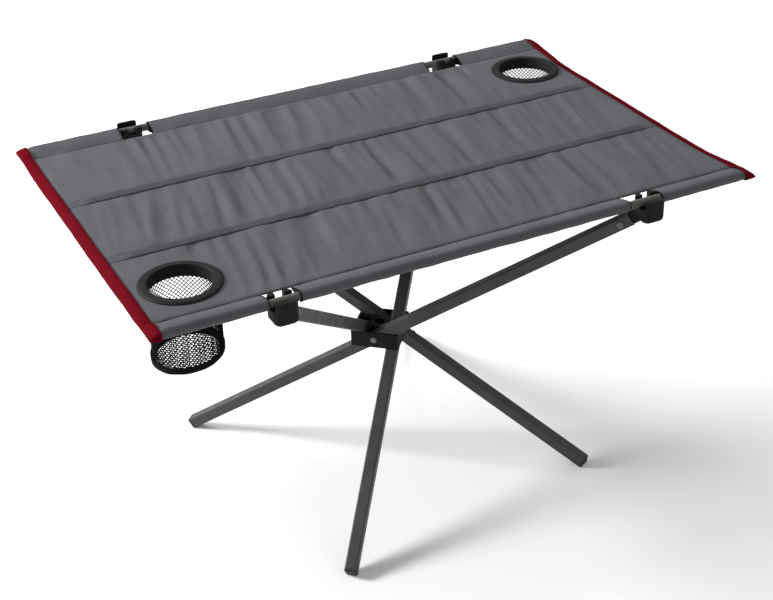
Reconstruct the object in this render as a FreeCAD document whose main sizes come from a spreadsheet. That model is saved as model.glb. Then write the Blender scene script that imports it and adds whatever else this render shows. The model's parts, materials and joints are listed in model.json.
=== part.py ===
"""Fabric-topped folding camp table with two mesh cup holders.

The frame is a square hub with four straight legs that cross through it. Each leg runs
from a foot on the floor, past its pivot in the hub, up to a hook near a corner of the top.
Two rods in the long hems of the cloth top lie in the four hooks.

Frame: millimetres, +Z up, +X along the long side, origin on the floor under the hub.
"""
import FreeCAD, Part
import math
import os
import Sketcher
from FreeCAD import Placement, Rotation, Vector

DOC = FreeCAD.newDocument("camp_table")
SHEET = DOC.addObject("Spreadsheet::Sheet", "Sizes")

SIZES = [
    ("top_length", 740, "over the two end bindings"),
    ("top_width", 491, "over the two long hems"),
    ("top_height", 415, "upper face of the cloth"),
    ("cloth_thick", 1.6, "doubled cloth"),
    ("hem_depth", 28.6, "long edge to hem seam"),
    ("hem_radius", 6.4, "outside of the cloth round a rod"),
    ("binding_width", 13, "tape on each short end"),
    ("binding_thick", 2.6, "tape folded round the cloth"),
    ("notch_left", 203, "left hem opening, side nearer the middle"),
    ("notch_right", 192, "right hem opening, side nearer the middle"),
    ("notch_far", 241, "hem opening, side nearer the corner"),
    ("rod_dia", 9.5, "hem rod"),
    ("rod_wall", 1, "hem rod is a tube"),
    ("rod_gap", 0.2, "round the rod in its hem"),
    ("rod_length", 704, "hem rod without its end plugs"),
    ("plug_head", 2.5, "end plug outside the rod"),
    ("plug_stem", 12, "end plug inside the rod"),
    ("batten_place", 73, "batten from the long centre line"),
    ("batten_dia", 5, "cross batten"),
    ("batten_length", 706, "cross batten"),
    ("sleeve_radius", 3.9, "outside of a batten sleeve"),
    ("fold_width", 12, "sewn lines on either side of a batten"),
    ("seam_width", 1, "groove of a sewn line"),
    ("seam_depth", 0.3, "groove of a sewn line"),
    ("cup_across", 304, "cup centre from the middle along the length"),
    ("cup_along", 155.9, "cup centre from the middle along the width"),
    ("cup_bore", 71, "takes a 66 mm drink can"),
    ("ring_dia", 91, "flange of the cup ring"),
    ("ring_thick", 3, "flange of the cup ring"),
    ("ring_edge", 1, "upright edge of the flange, under its bevel"),
    ("collar_wall", 2, "collar below the flange"),
    ("collar_depth", 12, "collar below the cloth's upper face"),
    ("keeper_thick", 2, "retaining ring under the cloth"),
    ("keeper_step", 1, "flange's edge in to the retaining ring's edge"),
    ("pocket_depth", 84, "cloth's upper face to the pocket floor"),
    ("mesh_thick", 0.8, "pocket wall"),
    ("floor_thick", 1, "pocket floor"),
    ("tape_height", 9, "binding round the pocket floor"),
    ("tape_thick", 1.8, "binding round the pocket floor"),
    ("tape_lip", 6, "binding turned in under the floor"),
    ("hub_side", 61, "square hub"),
    ("hub_thick", 21, "square hub"),
    ("hub_round", 1.5, "vertical edges of the hub"),
    ("pivot_height", 183, "leg pivots above the floor"),
    ("leg_offset", 20.8, "leg's plane from the hub's centre"),
    ("slot_gap", 0.3, "each side of a leg in its slot"),
    ("stop_gap", 0.05, "under a leg on its stop"),
    ("core_hole", 14, "blind hole in the hub's top"),
    ("core_depth", 17, "blind hole in the hub's top"),
    ("tube_side", 15, "square leg tube"),
    ("tube_wall", 1.2, "square leg tube"),
    ("tube_round", 2, "corners of the leg tube"),
    ("tip_across", 225.7, "hook centre from the middle along the length"),
    ("tip_height", 402.4, "leg's centre line under the hook"),
    ("tube_end", 21, "hook centre back to the tube's upper end"),
    ("rivet_place", 35, "hook centre back to its rivet"),
    ("rivet_dia", 4, "hook rivet's shank"),
    ("rivet_head", 8, "hook rivet's head"),
    ("head_thick", 1.2, "hook rivet's head"),
    ("insert_end", 51, "hook centre back to the end of its insert"),
    ("insert_gap", 0.1, "round an insert in the tube"),
    ("hook_width", 28, "hook cup along the rod"),
    ("hook_inner", 11, "rod centre to the fingers' inner face"),
    ("hook_outer", 16.5, "rod centre to the cup's outer face"),
    ("hook_below", 22, "rod centre to the cup's underside"),
    ("finger_rise", 6, "fingers above the rod centre"),
    ("finger_gap", 10, "between the two fingers"),
    ("finger_root", 3, "rod centre down to the fingers' root"),
    ("lip_wall", 3.5, "cup's outer lip"),
    ("hook_gap", 0.3, "round the rod in its hook"),
    ("hook_round", 8, "cup's outer corners"),
    ("hook_inner_round", 6, "cup's inner corners"),
    ("hook_base_round", 5, "cup's lower edges"),
    ("foot_thick", 4, "foot cap outside the tube"),
    ("foot_insert", 18, "foot cap inside the tube"),
    ("foot_chamfer", 1.5, "edges of the foot cap"),
    ("pin_dia", 5, "pivot pin"),
    ("pin_head", 8, "pivot pin's head"),
    ("pin_head_thick", 1.6, "pivot pin's head"),
    ("pin_recess", 1.2, "counterbore in the hub's side"),
    ("pin_grip", 5.5, "pivot pin in the hub's core"),
    ("bush_dia", 8, "pivot bush in the leg tube"),
    ("bush_gap", 0.05, "between pivot pin and bush"),
]


def fill_sheet():
    for row, (alias, value, meaning) in enumerate(SIZES, start=1):
        SHEET.set("A%d" % row, meaning)
        SHEET.set("B%d" % row, str(value))
        SHEET.setAlias("B%d" % row, alias)
    DOC.recompute()


fill_sheet()


def size(alias):
    return float(SHEET.get(alias))


def cell(text):
    """Write a formula in aliases; a leading $ marks each alias."""
    return text.replace("$", "Sizes.")


# ---------------------------------------------------------------- plain building blocks

def bind(item, **formulas):
    for name, formula in formulas.items():
        item.setExpression(name, cell(formula))
    return item


def box(name, length, width, height, place=None, x=None, y=None, z=None):
    """Box with bound sides, its low corner at formulas x, y, z unless it has a placement."""
    item = DOC.addObject("Part::Box", name)
    bind(item, Length=length, Width=width, Height=height)
    if place is not None:
        item.Placement = place
        return item
    for axis, formula in zip("xyz", (x, y, z)):
        item.setExpression("Placement.Base." + axis, cell(formula))
    return item


def cylinder(name, radius, height, place):
    item = DOC.addObject("Part::Cylinder", name)
    bind(item, Radius=radius, Height=height)
    item.Placement = place
    return item


def fuse(name, parts):
    item = DOC.addObject("Part::MultiFuse", name)
    item.Shapes = parts
    return item


def cut(name, base, tool):
    item = DOC.addObject("Part::Cut", name)
    item.Base = base
    item.Tool = tool
    return item


def rounded(name, base, radius, chosen):
    """Fillet the edges of base whose end points satisfy chosen(first, last)."""
    DOC.recompute()
    edges = []
    for index, edge in enumerate(base.Shape.Edges, start=1):
        ends = [vertex.Point for vertex in edge.Vertexes]
        if len(ends) == 2 and chosen(ends[0], ends[1]):
            edges.append((index, radius, radius))
    item = DOC.addObject("Part::Fillet", name)
    item.Base = base
    item.Edges = edges
    return item


def upright(first, last):
    return abs(first.x - last.x) < 1e-6 and abs(first.y - last.y) < 1e-6


SUBPARTS = []


def keep(item, label):
    item.Label = label
    SUBPARTS.append(item)
    return item


# ---------------------------------------------------------------- sketched bodies

def new_body(label):
    return keep(DOC.addObject("PartDesign::Body", "body_" + label), label)


def new_sketch(body, name, role):
    sketch = body.newObject("Sketcher::SketchObject", name)
    plane = [item for item in body.Origin.OriginFeatures if item.Role == role][0]
    sketch.AttachmentSupport = (plane, "")
    sketch.MapMode = "FlatFace"
    return sketch


def bound(sketch, kind, target, name, formula):
    """Add one driving dimension to a sketch and bind it to the sheet."""
    index = sketch.addConstraint(Sketcher.Constraint(kind, *target))
    sketch.renameConstraint(index, name)
    sketch.setExpression("Constraints." + name, cell(formula))


def add_circle(sketch, name, radius, formula):
    circle = sketch.addGeometry(Part.Circle(Vector(0, 0, 0), Vector(0, 0, 1), radius), False)
    sketch.addConstraint(Sketcher.Constraint("Coincident", circle, 3, -1, 1))
    bound(sketch, "Radius", (circle, radius), name, formula)


def add_square(sketch, name, side, formula):
    """Square centred on the sketch's origin."""
    half = side / 2
    signs = ((-1, -1), (1, -1), (1, 1), (-1, 1))
    corners = [Vector(x * half, y * half, 0) for x, y in signs]
    lines = []
    for start, end in zip(corners, corners[1:] + corners[:1]):
        lines.append(sketch.addGeometry(Part.LineSegment(start, end), False))
    for line, after in zip(lines, lines[1:] + lines[:1]):
        sketch.addConstraint(Sketcher.Constraint("Coincident", line, 2, after, 1))
    for line, direction in zip(lines, ("Horizontal", "Vertical", "Horizontal", "Vertical")):
        sketch.addConstraint(Sketcher.Constraint(direction, line))
    sketch.addConstraint(Sketcher.Constraint("Symmetric", lines[0], 1, lines[1], 2, -1, 1))
    sketch.addConstraint(Sketcher.Constraint("Equal", lines[0], lines[1]))
    bound(sketch, "DistanceX", (lines[0], 1, lines[0], 2, side), name, formula)


def add_profile(sketch, points):
    """Closed outline of straight lines. Each point is (x formula, y formula)."""
    places = [Vector(evaluate(x), evaluate(y), 0) for x, y in points]
    lines = []
    for start, end in zip(places, places[1:] + places[:1]):
        lines.append(sketch.addGeometry(Part.LineSegment(start, end), False))
    for line, after in zip(lines, lines[1:] + lines[:1]):
        sketch.addConstraint(Sketcher.Constraint("Coincident", line, 2, after, 1))
    for number, (line, (x, y), spot) in enumerate(zip(lines, points, places)):
        bound(sketch, "DistanceX", (-1, 1, line, 1, spot.x), "across%d" % number, x)
        bound(sketch, "DistanceY", (-1, 1, line, 1, spot.y), "up%d" % number, y)


def evaluate(formula):
    """Value of a formula, worked out by the sheet."""
    return float(SHEET.evalExpression(cell(formula)))


def pad(body, sketch, name, length):
    item = body.newObject("PartDesign::Pad", name)
    item.Profile = sketch
    item.setExpression("Length", cell(length))
    return item


def revolve(body, sketch, name):
    """Full turn of a sketch about its own vertical axis."""
    item = body.newObject("PartDesign::Revolution", name)
    item.Profile = sketch
    item.ReferenceAxis = (sketch, ["V_Axis"])
    item.Angle = 360
    return item


# ---------------------------------------------------------------- where things stand

ROD_Y = size("top_width") / 2 - size("hem_radius")
ROD_Z = size("top_height") - size("cloth_thick") / 2
UP = Vector(0, 0, 1)
CORNERS = {"front_left": (-1, -1), "front_right": (1, -1), "back_right": (1, 1), "back_left": (-1, 1)}


class Leg:
    """Where one leg stands: its pivot, its direction in plan and its lean."""

    def __init__(self, side_x, side_y):
        self.rod = Vector(side_x * size("tip_across"), side_y * ROD_Y, ROD_Z)
        self.outward = side_y
        tip = Vector(self.rod.x, self.rod.y, size("tip_height"))
        outward = Vector(tip.x, tip.y, 0)
        swing = math.degrees(math.asin(size("leg_offset") / outward.Length))
        forward = Rotation(UP, swing).multVec(outward).normalize()
        self.pivot = Vector(forward.y, -forward.x, 0) * size("leg_offset") + UP * size("pivot_height")
        run = tip - self.pivot
        reach = math.hypot(run.x, run.y)
        self.turn = math.degrees(math.atan2(run.y, run.x))
        self.lean = math.degrees(math.atan2(run.z, reach))
        self.upper = math.hypot(reach, run.z)
        self.flat = Placement(self.pivot, Rotation(UP, self.turn))
        self.tilted = self.flat.multiply(Placement(Vector(), Rotation(Vector(0, -1, 0), self.lean)))

    def lower(self):
        """Pivot to the end of the foot cap, so that its chamfered edge meets the floor."""
        lean = math.radians(self.lean)
        drop = size("pivot_height") - size("tube_side") / 2 * math.cos(lean)
        return drop / math.sin(lean) + size("foot_chamfer")

    def along(self, x, y=0.0, z=0.0, turn=None):
        """Placement at x along the leg, y across it and z square to both."""
        place = self.tilted.multiply(Placement(Vector(x, y, z), Rotation()))
        return place if turn is None else place.multiply(Placement(Vector(), turn))


LEGS = {name: Leg(*sides) for name, sides in CORNERS.items()}
ACROSS = Rotation(Vector(1, 0, 0), -90)
ALONG_X = Rotation(Vector(0, 1, 0), 90)


# ---------------------------------------------------------------- hub

def leg_slot(name, leg):
    """Space that a leg sweeps from its stop to upright: two leaning halves and a shaft."""
    wide = "$tube_side + 2 * $slot_gap"
    side = size("tube_side") / 2 + size("slot_gap")
    below = size("tube_side") / 2 + size("stop_gap")
    ahead = leg.along(0, -side, -below)
    behind = leg.along(0, side, below, Rotation(Vector(0, 1, 0), 180))
    behind = behind.multiply(Placement(Vector(0, -2 * side, 0), Rotation()))
    half = size("tube_side") / 2 + 2 * size("slot_gap")
    shaft = leg.flat.multiply(Placement(Vector(-half, -side, -size("hub_thick")), Rotation()))
    return [
        box(name + "_ahead", "$hub_side", wide, "$hub_side", ahead),
        box(name + "_behind", "$hub_side", wide, "$hub_side", behind),
        box(name + "_shaft", "$tube_side + 4 * $slot_gap", wide, "2 * $hub_thick", shaft),
    ]


def pin_place(leg, depth):
    """On the pivot's axis, depth inside the hub's side face, pointing to the hub's centre."""
    inward = Vector(-leg.pivot.x, -leg.pivot.y, 0).normalize()
    start = Vector(0, 0, leg.pivot.z) - inward * (size("hub_side") / 2 - depth)
    return Placement(start, Rotation(UP, inward))


def make_hub():
    middle = UP * (size("pivot_height") - size("hub_thick") / 2)
    square_turn = (LEGS["back_right"].turn + LEGS["back_left"].turn - 90) / 2
    low = Placement(middle, Rotation(UP, square_turn))
    low = low.multiply(Placement(Vector(-size("hub_side") / 2, -size("hub_side") / 2, 0), Rotation()))
    block = box("hub_blank", "$hub_side", "$hub_side", "$hub_thick", low)
    block = rounded("hub_rounded", block, size("hub_round"), upright)
    tools = []
    for name, leg in LEGS.items():
        tools += leg_slot("slot_" + name, leg)
        reach = "$hub_side / 2 - $core_hole / 2"
        tools.append(cylinder("pin_hole_" + name, "$pin_dia / 2", reach, pin_place(leg, 0)))
        outside = -size("pin_recess")
        tools.append(cylinder("recess_" + name, "$pin_head / 2 + $bush_gap", "2 * $pin_recess",
                              pin_place(leg, outside)))
    top = size("pivot_height") + size("hub_thick") / 2
    deep = Placement(UP * (top - size("core_depth")), Rotation())
    tools.append(cylinder("core_hole", "$core_hole / 2", "2 * $core_depth", deep))
    keep(cut("hub", block, fuse("hub_spaces", tools)), "hub_block")


def make_pin(name, leg):
    """Pivot pin: a head in the hub's side and a shank that ends in the core's wall."""
    head_start = size("pin_recess") - size("pin_head_thick")
    head = cylinder("pin_head_" + name, "$pin_head / 2", "$pin_head_thick", pin_place(leg, head_start))
    length = "$hub_side / 2 - $pin_recess - $core_hole / 2"
    shank = cylinder("pin_shank_" + name, "$pin_dia / 2", length, pin_place(leg, size("pin_recess")))
    keep(fuse("pin_" + name, [head, shank]), "pivot_pin_" + name)


# ---------------------------------------------------------------- legs

def make_leg_tube(name, leg):
    """Square tube with a cross hole for the pivot bush and one for the hook's rivet."""
    label = "leg_tube_" + name
    upper = leg.upper - size("tube_end")
    lower = leg.lower() - size("foot_thick")
    side = "$tube_side"
    hollow = "$tube_side - 2 * $tube_wall"
    start = size("tube_side") / 2
    outer = DOC.addObject("Part::Box", label + "_outside")
    outer.Length = upper + lower
    bind(outer, Width=side, Height=side)
    outer.Placement = Placement(Vector(-lower, -start, -start), Rotation())

    def lengthwise(first, last):
        return abs(first.y - last.y) < 1e-6 and abs(first.z - last.z) < 1e-6

    skin = rounded(label + "_skin", outer, size("tube_round"), lengthwise)
    inner = DOC.addObject("Part::Box", label + "_inside")
    inner.Length = 2 * (upper + lower)
    bind(inner, Width=hollow, Height=hollow)
    start -= size("tube_wall")
    inner.Placement = Placement(Vector(-upper - lower, -start, -start), Rotation())
    beside = -size("tube_side")
    pivot = cylinder(label + "_pivot_hole", "$bush_dia / 2", "2 * $tube_side",
                     Placement(Vector(0, beside, 0), ACROSS))
    rivet_at = Vector(leg.upper - size("rivet_place"), beside, 0)
    rivet = cylinder(label + "_rivet_hole", "$rivet_dia / 2", "2 * $tube_side",
                     Placement(rivet_at, ACROSS))
    tube = cut(label + "_cut", skin, fuse(label + "_spaces", [inner, pivot, rivet]))
    tube.Placement = leg.tilted
    keep(tube, label)


def make_bush(name, leg):
    half = size("tube_side") / 2
    place = leg.along(0, -half, 0, ACROSS)
    outside = cylinder("bush_outside_" + name, "$bush_dia / 2", "$tube_side", place)
    inside = cylinder("bush_inside_" + name, "$pin_dia / 2 + $bush_gap", "$tube_side", place)
    keep(cut("bush_" + name, outside, inside), "pivot_bush_" + name)


def make_foot(name, leg):
    """End cap with chamfered edges and an insert that fills the tube's lower end."""
    label = "foot_cap_" + name
    body = new_body(label)
    outline = new_sketch(body, label + "_outline", "YZ_Plane")
    add_square(outline, "side", size("tube_side"), "$tube_side")
    cap = pad(body, outline, label + "_cap", "$foot_thick")
    DOC.recompute()
    edges = []
    for index, edge in enumerate(cap.Shape.Edges, start=1):
        ends = [vertex.Point.x for vertex in edge.Vertexes]
        if abs(ends[0] - ends[1]) > 1e-6:
            edges.append("Edge%d" % index)
    round_off = body.newObject("PartDesign::Fillet", label + "_corners")
    round_off.Base = (cap, edges)
    round_off.setExpression("Radius", cell("$tube_round"))
    DOC.recompute()
    faces = []
    for index, face in enumerate(round_off.Shape.Faces, start=1):
        if abs(face.CenterOfMass.x) < 1e-6:
            faces.append("Face%d" % index)
    bevel = body.newObject("PartDesign::Chamfer", label + "_bevel")
    bevel.Base = (round_off, faces)
    bevel.setExpression("Size", cell("$foot_chamfer"))
    inner = new_sketch(body, label + "_insert_outline", "YZ_Plane")
    hollow = "$tube_side - 2 * $tube_wall - 2 * $insert_gap"
    add_square(inner, "side", evaluate(hollow), hollow)
    pad(body, inner, label + "_insert", "$foot_thick + $foot_insert")
    body.Placement = leg.along(-leg.lower())


def hook_face(leg):
    """At the rod's centre over a leg, with +Y away from the table."""
    return Placement(leg.rod, Rotation(UP, 0 if leg.outward > 0 else 180))


def hook_tools(label, leg):
    """Channel for the rod, the trough from it to the outer lip, and the gap between the fingers."""
    face = hook_face(leg)
    reach = size("hook_width")
    radius = size("rod_dia") / 2 + size("hook_gap")
    channel = face.multiply(Placement(Vector(-reach, 0, 0), ALONG_X))
    above = face.multiply(Placement(Vector(-reach, -radius, 0), Rotation()))
    trough = face.multiply(Placement(Vector(-reach, 0, -radius), Rotation()))
    out = "$hook_outer - $lip_wall"
    root = Vector(-size("finger_gap") / 2, -2 * size("hook_inner"), -size("finger_root"))
    gap = face.multiply(Placement(root, Rotation()))
    return [
        cylinder(label + "_channel", "$rod_dia / 2 + $hook_gap", "2 * $hook_width", channel),
        box(label + "_above", "2 * $hook_width", "$rod_dia / 2 + $hook_gap + " + out, "$hook_width", above),
        box(label + "_trough", "2 * $hook_width", out, "$hook_width", trough),
        box(label + "_gap", "$finger_gap", "2 * $hook_inner - $rod_dia / 2", "$hook_width", gap),
    ]


def make_hook(name, leg):
    """Cup that holds the rod, with two inner fingers, on an insert that fills the tube's end."""
    label = "hook_" + name
    corner = Vector(-size("hook_width") / 2, -size("hook_inner"), -size("hook_below"))
    place = hook_face(leg).multiply(Placement(corner, Rotation()))
    depth = "$hook_inner + $hook_outer"
    cup = box(label + "_blank", "$hook_width", depth, "$hook_below + $finger_rise", place)
    outer_y = leg.outward * (ROD_Y + size("hook_outer"))
    inner_y = leg.outward * (ROD_Y - size("hook_inner"))
    cup = rounded(label + "_corners", cup, size("hook_round"),
                  lambda first, last: upright(first, last) and abs(first.y - outer_y) < 1e-3)
    cup = rounded(label + "_inner_corners", cup, size("hook_inner_round"),
                  lambda first, last: upright(first, last) and abs(first.y - inner_y) < 1e-3)
    base = ROD_Z - size("hook_below")
    cup = rounded(label + "_base", cup, size("hook_base_round"),
                  lambda first, last: max(abs(first.z - base), abs(last.z - base)) < 1e-3)
    side = "$tube_side - 2 * $tube_wall - 2 * $insert_gap"
    half = evaluate(side) / 2
    insert = box(label + "_insert", "$insert_end - $tube_wall", side, side,
                 leg.along(leg.upper - size("insert_end"), -half, -half))
    rivet = cylinder(label + "_rivet_hole", "$rivet_dia / 2", "2 * $tube_side",
                     leg.along(leg.upper - size("rivet_place"), -size("tube_side"), 0, ACROSS))
    tools = hook_tools(label, leg) + [rivet]
    keep(cut(label, fuse(label + "_solid", [cup, insert]), fuse(label + "_spaces", tools)), label)


def make_rivet(name, leg):
    label = "hook_rivet_" + name
    half = size("tube_side") / 2
    at = leg.upper - size("rivet_place")
    shank = cylinder(label + "_shank", "$rivet_dia / 2", "$tube_side",
                     leg.along(at, -half, 0, ACROSS))
    near = cylinder(label + "_near", "$rivet_head / 2", "$head_thick",
                    leg.along(at, -half - size("head_thick"), 0, ACROSS))
    far = cylinder(label + "_far", "$rivet_head / 2", "$head_thick",
                   leg.along(at, half, 0, ACROSS))
    keep(fuse(label, [shank, near, far]), label)


# ---------------------------------------------------------------- cloth top

SEWN_LINES = {
    "front_outer": "-$batten_place - $fold_width / 2",
    "front_inner": "-$batten_place + $fold_width / 2",
    "back_inner": "$batten_place - $fold_width / 2",
    "back_outer": "$batten_place + $fold_width / 2",
}


def make_panel():
    """Doubled cloth between the hem seams and the bindings, with holes for the cup rings.

    Sewn lines beside the battens divide its face into three flat panels.
    """
    length = "$top_length - 2 * $binding_width"
    width = "$top_width - 2 * $hem_depth"
    sheet = box("panel_sheet", length, width, "$cloth_thick",
                x="-$top_length / 2 + $binding_width", y="-$top_width / 2 + $hem_depth",
                z="$top_height - $cloth_thick")
    tools = []
    for name, side in CUPS.items():
        low = cup_place(side, -size("pocket_depth"))
        tools.append(cylinder("panel_hole_" + name, "$cup_bore / 2 + $collar_wall",
                              "2 * $pocket_depth", low))
    for name, middle in SEWN_LINES.items():
        tools.append(box("sewn_line_" + name, "$top_length", "$seam_width", "2 * $seam_depth",
                         x="-$top_length / 2", y=middle + " - $seam_width / 2",
                         z="$top_height - $seam_depth"))
    keep(cut("panel", sheet, fuse("panel_spaces", tools)), "cloth_top")


def teardrop(sketch):
    """Section of a hem: from the seam, over and under a rod at the origin, level with the cloth."""
    radius = size("hem_radius")
    back = size("hem_depth") - radius
    seam = [Vector(-back, side * size("cloth_thick") / 2, 0) for side in (-1, 1)]
    touch = math.atan2(seam[1].y, seam[1].x) - math.acos(radius / seam[1].Length)
    crown = Vector(radius * math.cos(touch), radius * math.sin(touch), 0)
    base = Vector(crown.x, -crown.y, 0)
    circle = Part.Circle(Vector(), UP, radius)
    arc = sketch.addGeometry(Part.ArcOfCircle(circle, -touch, touch), False)
    over = sketch.addGeometry(Part.LineSegment(seam[1], crown), False)
    edge = sketch.addGeometry(Part.LineSegment(seam[0], seam[1]), False)
    under = sketch.addGeometry(Part.LineSegment(base, seam[0]), False)
    sketch.addConstraint(Sketcher.Constraint("Coincident", arc, 3, -1, 1))
    sketch.addConstraint(Sketcher.Constraint("Tangent", over, 2, arc, 2))
    sketch.addConstraint(Sketcher.Constraint("Tangent", arc, 1, under, 1))
    sketch.addConstraint(Sketcher.Constraint("Coincident", under, 2, edge, 1))
    sketch.addConstraint(Sketcher.Constraint("Coincident", edge, 2, over, 1))
    sketch.addConstraint(Sketcher.Constraint("Symmetric", edge, 1, edge, 2, -1))
    bound(sketch, "Radius", (arc, radius), "hem_radius", "$hem_radius")
    bound(sketch, "DistanceX", (edge, 2, -1, 1, back), "seam_back", "$hem_depth - $hem_radius")
    bound(sketch, "DistanceY", (edge, 1, edge, 2, size("cloth_thick")), "layers", "$cloth_thick")


HEM_SPANS = [
    ("left", "-$top_length / 2 + $binding_width", "-$notch_far"),
    ("middle", "-$notch_left", "$notch_right"),
    ("right", "$notch_far", "$top_length / 2 - $binding_width"),
]


def teardrop_solid(label, outward, start, end, hollow):
    """A length of hem from x = start to x = end, with or without the rod's passage."""
    body = DOC.addObject("PartDesign::Body", "body_" + label)
    outline = new_sketch(body, label + "_section", "XZ_Plane")
    teardrop(outline)
    if hollow:
        add_circle(outline, "passage", size("rod_dia") / 2 + size("rod_gap"), "$rod_dia / 2 + $rod_gap")
    length = "%s - (%s)" % (end, start)
    pad(body, outline, label + "_length", length)
    # The sketch's plane faces -Y, so a quarter turn lays the pad along +X or -X.
    quarter = Rotation(UP, 90 if outward > 0 else -90)
    x = evaluate(start) if outward > 0 else evaluate(end)
    body.Placement = Placement(Vector(x, outward * ROD_Y, ROD_Z), quarter)
    return body


def make_hem(side, outward):
    spans = []
    for name, start, end in HEM_SPANS:
        spans.append(teardrop_solid("hem_%s_%s" % (side, name), outward, start, end, True))
    keep(fuse("hem_" + side, spans), "hem_" + side)


def make_rod(side, outward):
    start = Placement(Vector(-size("rod_length") / 2, outward * ROD_Y, ROD_Z), ALONG_X)
    outside = cylinder("rod_outside_" + side, "$rod_dia / 2", "$rod_length", start)
    inside = cylinder("rod_inside_" + side, "$rod_dia / 2 - $rod_wall", "$rod_length", start)
    keep(cut("rod_" + side, outside, inside), "hem_rod_" + side)
    for name, sign in (("left", -1), ("right", 1)):
        label = "rod_plug_%s_%s" % (side, name)
        turn = Rotation(Vector(0, 1, 0), 90 * sign)
        end = Placement(Vector(sign * size("rod_length") / 2, outward * ROD_Y, ROD_Z), turn)
        head = cylinder(label + "_head", "$rod_dia / 2", "$plug_head", end)
        back = end.multiply(Placement(UP * -size("plug_stem"), Rotation()))
        stem = cylinder(label + "_stem", "$rod_dia / 2 - $rod_wall", "$plug_stem", back)
        keep(fuse(label, [head, stem]), label)


def make_batten(side, outward):
    """Cross batten in a sleeve sewn to the underside of the cloth."""
    y = outward * size("batten_place")
    z = size("top_height") - size("cloth_thick") - size("sleeve_radius")
    start = Placement(Vector(-size("batten_length") / 2, y, z), ALONG_X)
    keep(cylinder("batten_" + side, "$batten_dia / 2", "$batten_length", start), "batten_" + side)
    outside = cylinder("sleeve_outside_" + side, "$sleeve_radius", "$batten_length", start)
    inside = cylinder("sleeve_inside_" + side, "$batten_dia / 2 + $rod_gap", "$batten_length", start)
    keep(cut("sleeve_" + side, outside, inside), "batten_sleeve_" + side)


def make_binding(side, across):
    """Tape over one short end, closing the ends of both hems."""
    overlap = "($binding_thick - $cloth_thick) / 2"
    x = "-$top_length / 2" if across < 0 else "$top_length / 2 - $binding_width"
    strip = box("binding_strip_" + side, "$binding_width", "$top_width - 2 * $hem_depth",
                "$binding_thick", x=x, y="-$top_width / 2 + $hem_depth",
                z="$top_height - $cloth_thick - " + overlap)
    end = x + " + $binding_width"
    ends = []
    for name, outward in (("front", -1), ("back", 1)):
        ends.append(teardrop_solid("binding_%s_%s" % (side, name), outward, x, end, False))
    keep(fuse("binding_" + side, [strip] + ends), "end_binding_" + side)


# ---------------------------------------------------------------- cup holders

CUPS = {"left": -1, "right": 1}


def cup_place(side, z):
    return Placement(Vector(side * size("cup_across"), side * size("cup_along"), size("top_height") + z),
                     Rotation())


def turned(label, side, points):
    """Body turned about the cup's axis. Heights are measured from the cloth's upper face."""
    body = new_body(label)
    outline = new_sketch(body, label + "_section", "XZ_Plane")
    add_profile(outline, points)
    revolve(body, outline, label + "_turn")
    body.Placement = cup_place(side, 0)


def ring_points(inner, outer, low, high):
    return [(inner, low), (outer, low), (outer, high), (inner, high)]


def make_cup(name, side):
    bore = "$cup_bore / 2"
    neck = "$cup_bore / 2 + $collar_wall"
    rim = "$ring_dia / 2"
    turned("cup_ring_" + name, side, [
        (bore, "-$collar_depth"), (neck, "-$collar_depth"), (neck, "0"), (rim, "0"),
        (rim, "$ring_edge"), (rim + " - $ring_thick", "$ring_thick"), (bore, "$ring_thick")])
    low = "-$cloth_thick - $keeper_thick"
    turned("cup_keeper_" + name, side,
           ring_points(neck, rim + " - $keeper_step", low, "-$cloth_thick"))
    wall = neck + " + $mesh_thick"
    turned("pocket_wall_" + name, side, ring_points(neck, wall, "-$pocket_depth", low))
    under = "-$pocket_depth - $floor_thick"
    turned("pocket_floor_" + name, side, [("0", under), (wall, under), (wall, "-$pocket_depth"),
                                          ("0", "-$pocket_depth")])
    tape = wall + " + $tape_thick"
    lip = under + " - $floor_thick"
    turned("pocket_tape_" + name, side, [
        (wall + " - $tape_lip", lip), (tape, lip), (tape, lip + " + $tape_height"),
        (wall, lip + " + $tape_height"), (wall, under), (wall + " - $tape_lip", under)])


# ---------------------------------------------------------------- build, check and write

def build():
    make_hub()
    for name, leg in LEGS.items():
        make_pin(name, leg)
        make_leg_tube(name, leg)
        make_bush(name, leg)
        make_foot(name, leg)
        make_hook(name, leg)
        make_rivet(name, leg)
    make_panel()
    for side, outward in (("front", -1), ("back", 1)):
        make_hem(side, outward)
        make_rod(side, outward)
        make_batten(side, outward)
    for side, across in CUPS.items():
        make_binding(side, across)
        make_cup(side, across)


def check():
    DOC.recompute()
    for item in DOC.Objects:
        if "Invalid" in item.State or "Error" in item.State:
            raise RuntimeError("%s could not be built: %s" % (item.Name, item.State))
    for item in SUBPARTS:
        if item.Shape.isNull() or not item.Shape.isValid() or item.Shape.Volume <= 0:
            raise RuntimeError("%s has no sound solid" % item.Label)


def write():
    os.makedirs("parts", exist_ok=True)
    for item in SUBPARTS:
        item.Shape.exportStep(os.path.join("parts", item.Label + ".step"))
        print("%-28s %2d solids %10.1f mm3"
              % (item.Label, len(item.Shape.Solids), item.Shape.Volume))


build()
check()
write()
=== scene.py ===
"""Looks of the folding camp table: cloth top, net pockets, tapes and finishes round the CAD frame."""
import json
import math

import bmesh
import bpy
import numpy as np
from mathutils import Matrix, Vector, noise


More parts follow.
